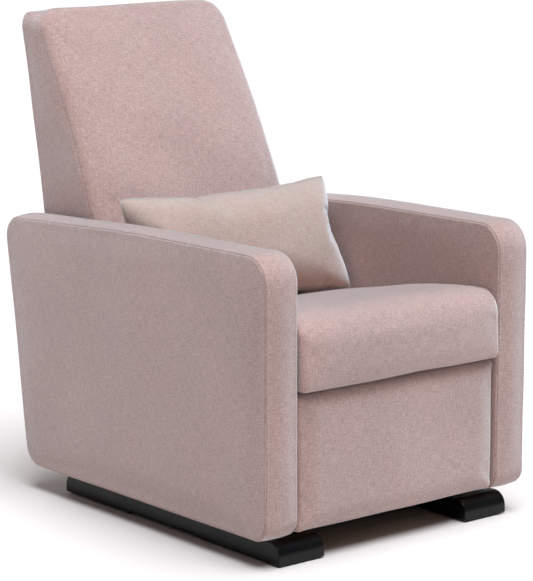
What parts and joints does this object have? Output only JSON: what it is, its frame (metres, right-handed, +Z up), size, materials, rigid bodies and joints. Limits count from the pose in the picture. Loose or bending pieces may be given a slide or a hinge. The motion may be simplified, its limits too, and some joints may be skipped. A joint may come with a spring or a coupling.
{
  "type": "glider nursery chair",
  "caption": "Upholstered glider armchair on two runners, with a reclining back, a fold-out footrest and a loose lumbar pillow.",
  "frame": {"origin": "on the floor, under the middle of the chair's overall length and width", "axes": "+Z up, +X to the right of somebody facing the chair, and the chair faces -Y"},
  "size_m": [0.72, 0.99, 1.063],
  "materials": {
    "upholstery": "matt woven",
    "pillow_cover": "matt woven",
    "black_lacquer": "black satin lacquer",
    "foot_rubber": "matt",
    "plywood": "raw",
    "hardwood": "raw",
    "black_steel": "black powder coat",
    "zinc_steel": "zinc plated",
    "spring_steel": "oiled",
    "nylon": "matt",
    "lever_black": "matt"
  },
  "bodies": {
    "base": {"runner_left": "black_lacquer", "runner_right": "black_lacquer", "base_crossbar_front": "black_lacquer", "base_crossbar_rear": "black_lacquer", "foot_pads": "foot_rubber", "glide_towers_left": "black_steel", "glide_towers_right": "black_steel", "tower_screws": "zinc_steel", "tower_pins": "zinc_steel"},
    "front_swing": {"swing_links_front": "black_steel", "link_bushes_front": "nylon"},
    "rear_swing": {"swing_links_rear": "black_steel", "link_bushes_rear": "nylon"},
    "chassis": {"arm_pad_left": "upholstery", "arm_pad_right": "upholstery", "arm_frame_left": "plywood", "arm_frame_right": "plywood", "side_rail_left": "hardwood", "side_rail_right": "hardwood", "seat_track_left": "black_steel", "seat_track_right": "black_steel", "glide_hangers_left": "black_steel", "glide_hangers_right": "black_steel", "hanger_pins": "zinc_steel", "arm_bolts": "zinc_steel", "front_stretcher": "hardwood", "rear_stretcher": "hardwood"},
    "seat": {"seat_side_plate_left": "black_steel", "seat_side_plate_right": "black_steel", "seat_frame": "hardwood", "seat_springs": "spring_steel", "seat_cushion": "upholstery", "slide_blocks": "nylon", "recline_pins": "zinc_steel", "control_pins": "zinc_steel"},
    "lever": {"release_lever": "lever_black", "lever_shaft": "zinc_steel", "latch_hook": "black_steel", "lever_spring": "spring_steel"},
    "footrest_drive": {"drive_shaft": "zinc_steel", "drive_links": "black_steel", "drive_pins": "zinc_steel", "latch_disc": "black_steel"},
    "footrest_front": {"front_links": "black_steel", "front_pins": "zinc_steel"},
    "footrest_control": {"control_links": "black_steel"},
    "footrest_idler": {"idler_links": "black_steel"},
    "footrest_panel": {"footrest_pad": "upholstery", "footrest_board": "plywood", "footrest_brackets": "black_steel", "bracket_pins": "zinc_steel"},
    "back": {"back_cushion": "upholstery", "back_outer_panel": "upholstery", "back_frame": "hardwood", "back_springs": "spring_steel", "back_bracket_left": "black_steel", "back_bracket_right": "black_steel"},
    "pillow": {"lumbar_pillow": "pillow_cover"}
  },
  "joints": [
    {"name": "glide_front", "type": "hinge", "parent": "base", "child": "front_swing", "pos_m": [0, -0.313, 0.25], "axis": [-1, 0, 0], "range_deg": [-22, 22]},
    {"name": "glide_chassis", "type": "hinge", "parent": "front_swing", "child": "chassis", "pos_m": [0, -0.313, 0.11], "axis": [-1, 0, 0], "range_deg": [-22, 22]},
    {"name": "glide_rear", "type": "hinge", "parent": "base", "child": "rear_swing", "pos_m": [0, -0.003, 0.25], "axis": [-1, 0, 0], "range_deg": [-22, 22]},
    {"name": "seat_slide", "type": "slide", "parent": "chassis", "child": "seat", "axis": [0, -0.999, 0.0436], "range_m": [0, 0.0505]},
    {"name": "recline", "type": "hinge", "parent": "seat", "child": "back", "pos_m": [0, 0.157, 0.3], "axis": [-1, 0, 0], "range_deg": [0, 26]},
    {"name": "pillow_settle", "type": "slide", "parent": "back", "child": "pillow", "axis": [0, -0.4289, -0.9033], "range_m": [0, 0.0686]},
    {"name": "footrest_open", "type": "hinge", "parent": "seat", "child": "footrest_drive", "pos_m": [0, -0.361, 0.29], "axis": [-1, 0, 0], "range_deg": [0, 105]},
    {"name": "footrest_knee", "type": "hinge", "parent": "footrest_drive", "child": "footrest_front", "pos_m": [0, -0.32, 0.105], "axis": [-1, 0, 0], "range_deg": [-153, 0]},
    {"name": "footrest_tilt", "type": "hinge", "parent": "footrest_front", "child": "footrest_panel", "pos_m": [0, -0.41, 0.25], "axis": [-1, 0, 0], "range_deg": [0, 138]},
    {"name": "footrest_control", "type": "hinge", "parent": "seat", "child": "footrest_control", "pos_m": [0, -0.388, 0.257], "axis": [-1, 0, 0], "range_deg": [0, 113.5]},
    {"name": "footrest_idler", "type": "hinge", "parent": "footrest_drive", "child": "footrest_idler", "pos_m": [0, -0.3, 0.112], "axis": [-1, 0, 0], "range_deg": [-155.5, 0]},
    {"name": "lever_pull", "type": "hinge", "parent": "seat", "child": "lever", "pos_m": [-0.236, -0.293, 0.338], "axis": [-1, 0, 0], "range_deg": [0, 12], "stiffness_Nm_per_rad": 1.5, "springref_deg": -14.32}
  ],
  "couplings": [
    {"joint": "glide_chassis", "follows": "glide_front", "ratio": -1},
    {"joint": "glide_rear", "follows": "glide_front", "ratio": 1},
    {"joint": "seat_slide", "follows": "recline", "m_per_rad": 0.11018},
    {"joint": "pillow_settle", "follows": "recline", "m_per_rad": 0.15},
    {"joint": "footrest_knee", "follows": "footrest_open", "ratio": -1.4562},
    {"joint": "footrest_tilt", "follows": "footrest_open", "ratio": 1.3133},
    {"joint": "footrest_control", "follows": "footrest_open", "ratio": 1.078},
    {"joint": "footrest_idler", "follows": "footrest_open", "ratio": -1.4771}
  ]
}
